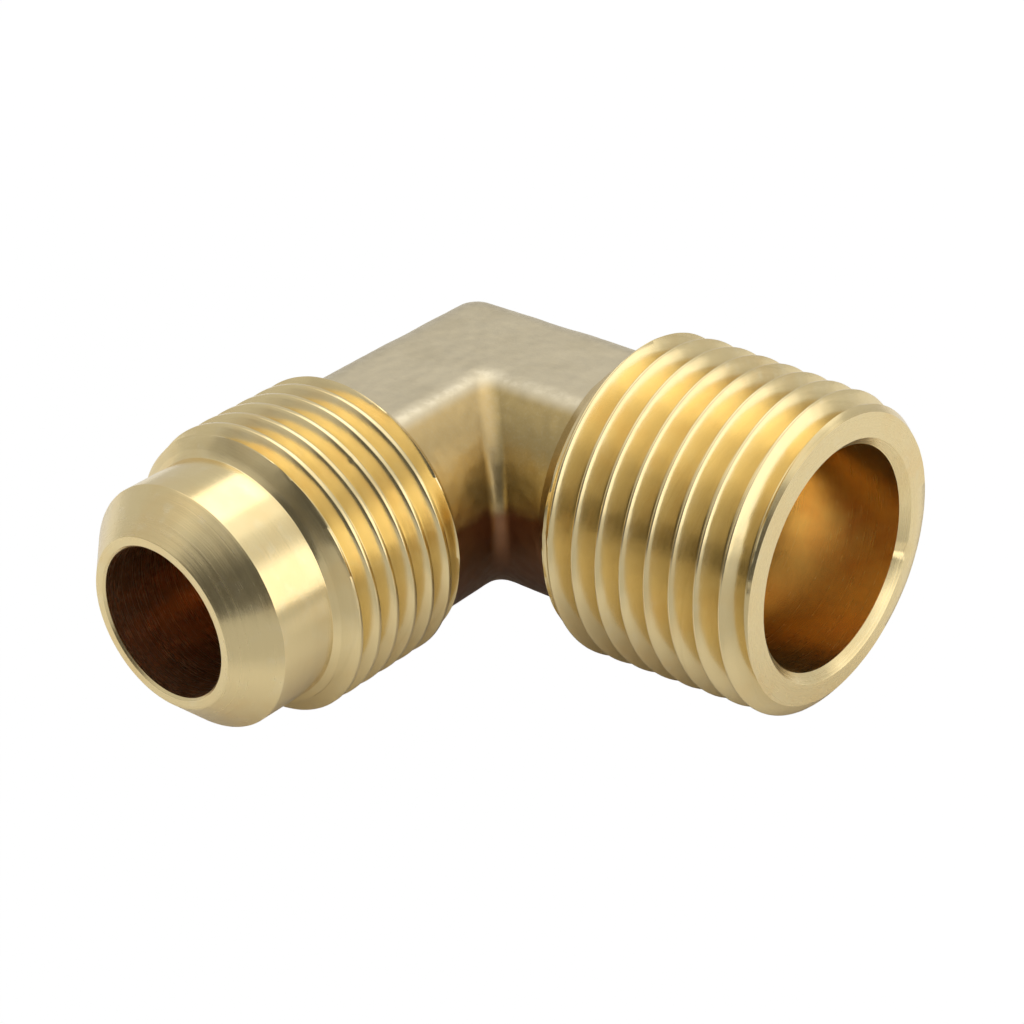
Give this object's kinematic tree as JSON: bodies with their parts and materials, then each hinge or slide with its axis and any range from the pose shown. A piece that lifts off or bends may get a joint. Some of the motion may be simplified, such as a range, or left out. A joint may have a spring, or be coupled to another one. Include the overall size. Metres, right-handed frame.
{
  "type": "flare fitting",
  "caption": "One-piece forged brass 90 degree elbow with a 45 degree male flare end for 1/2 inch tube and a 1/2-14 male tapered pipe thread",
  "frame": {"origin": "the point where the axes of the two bores cross, inside the forged corner", "axes": "+X out of the pipe thread end, -Y out of the flare end, +Z normal to the forging's upper wrench flat"},
  "size_m": [0.0381, 0.0403, 0.0214],
  "materials": {
    "brass": "bright as-machined threads, seat, nose and bores; matte as-forged corner"
  },
  "bodies": {
    "root": {"elbow_body": "brass"}
  },
  "joints": []
}
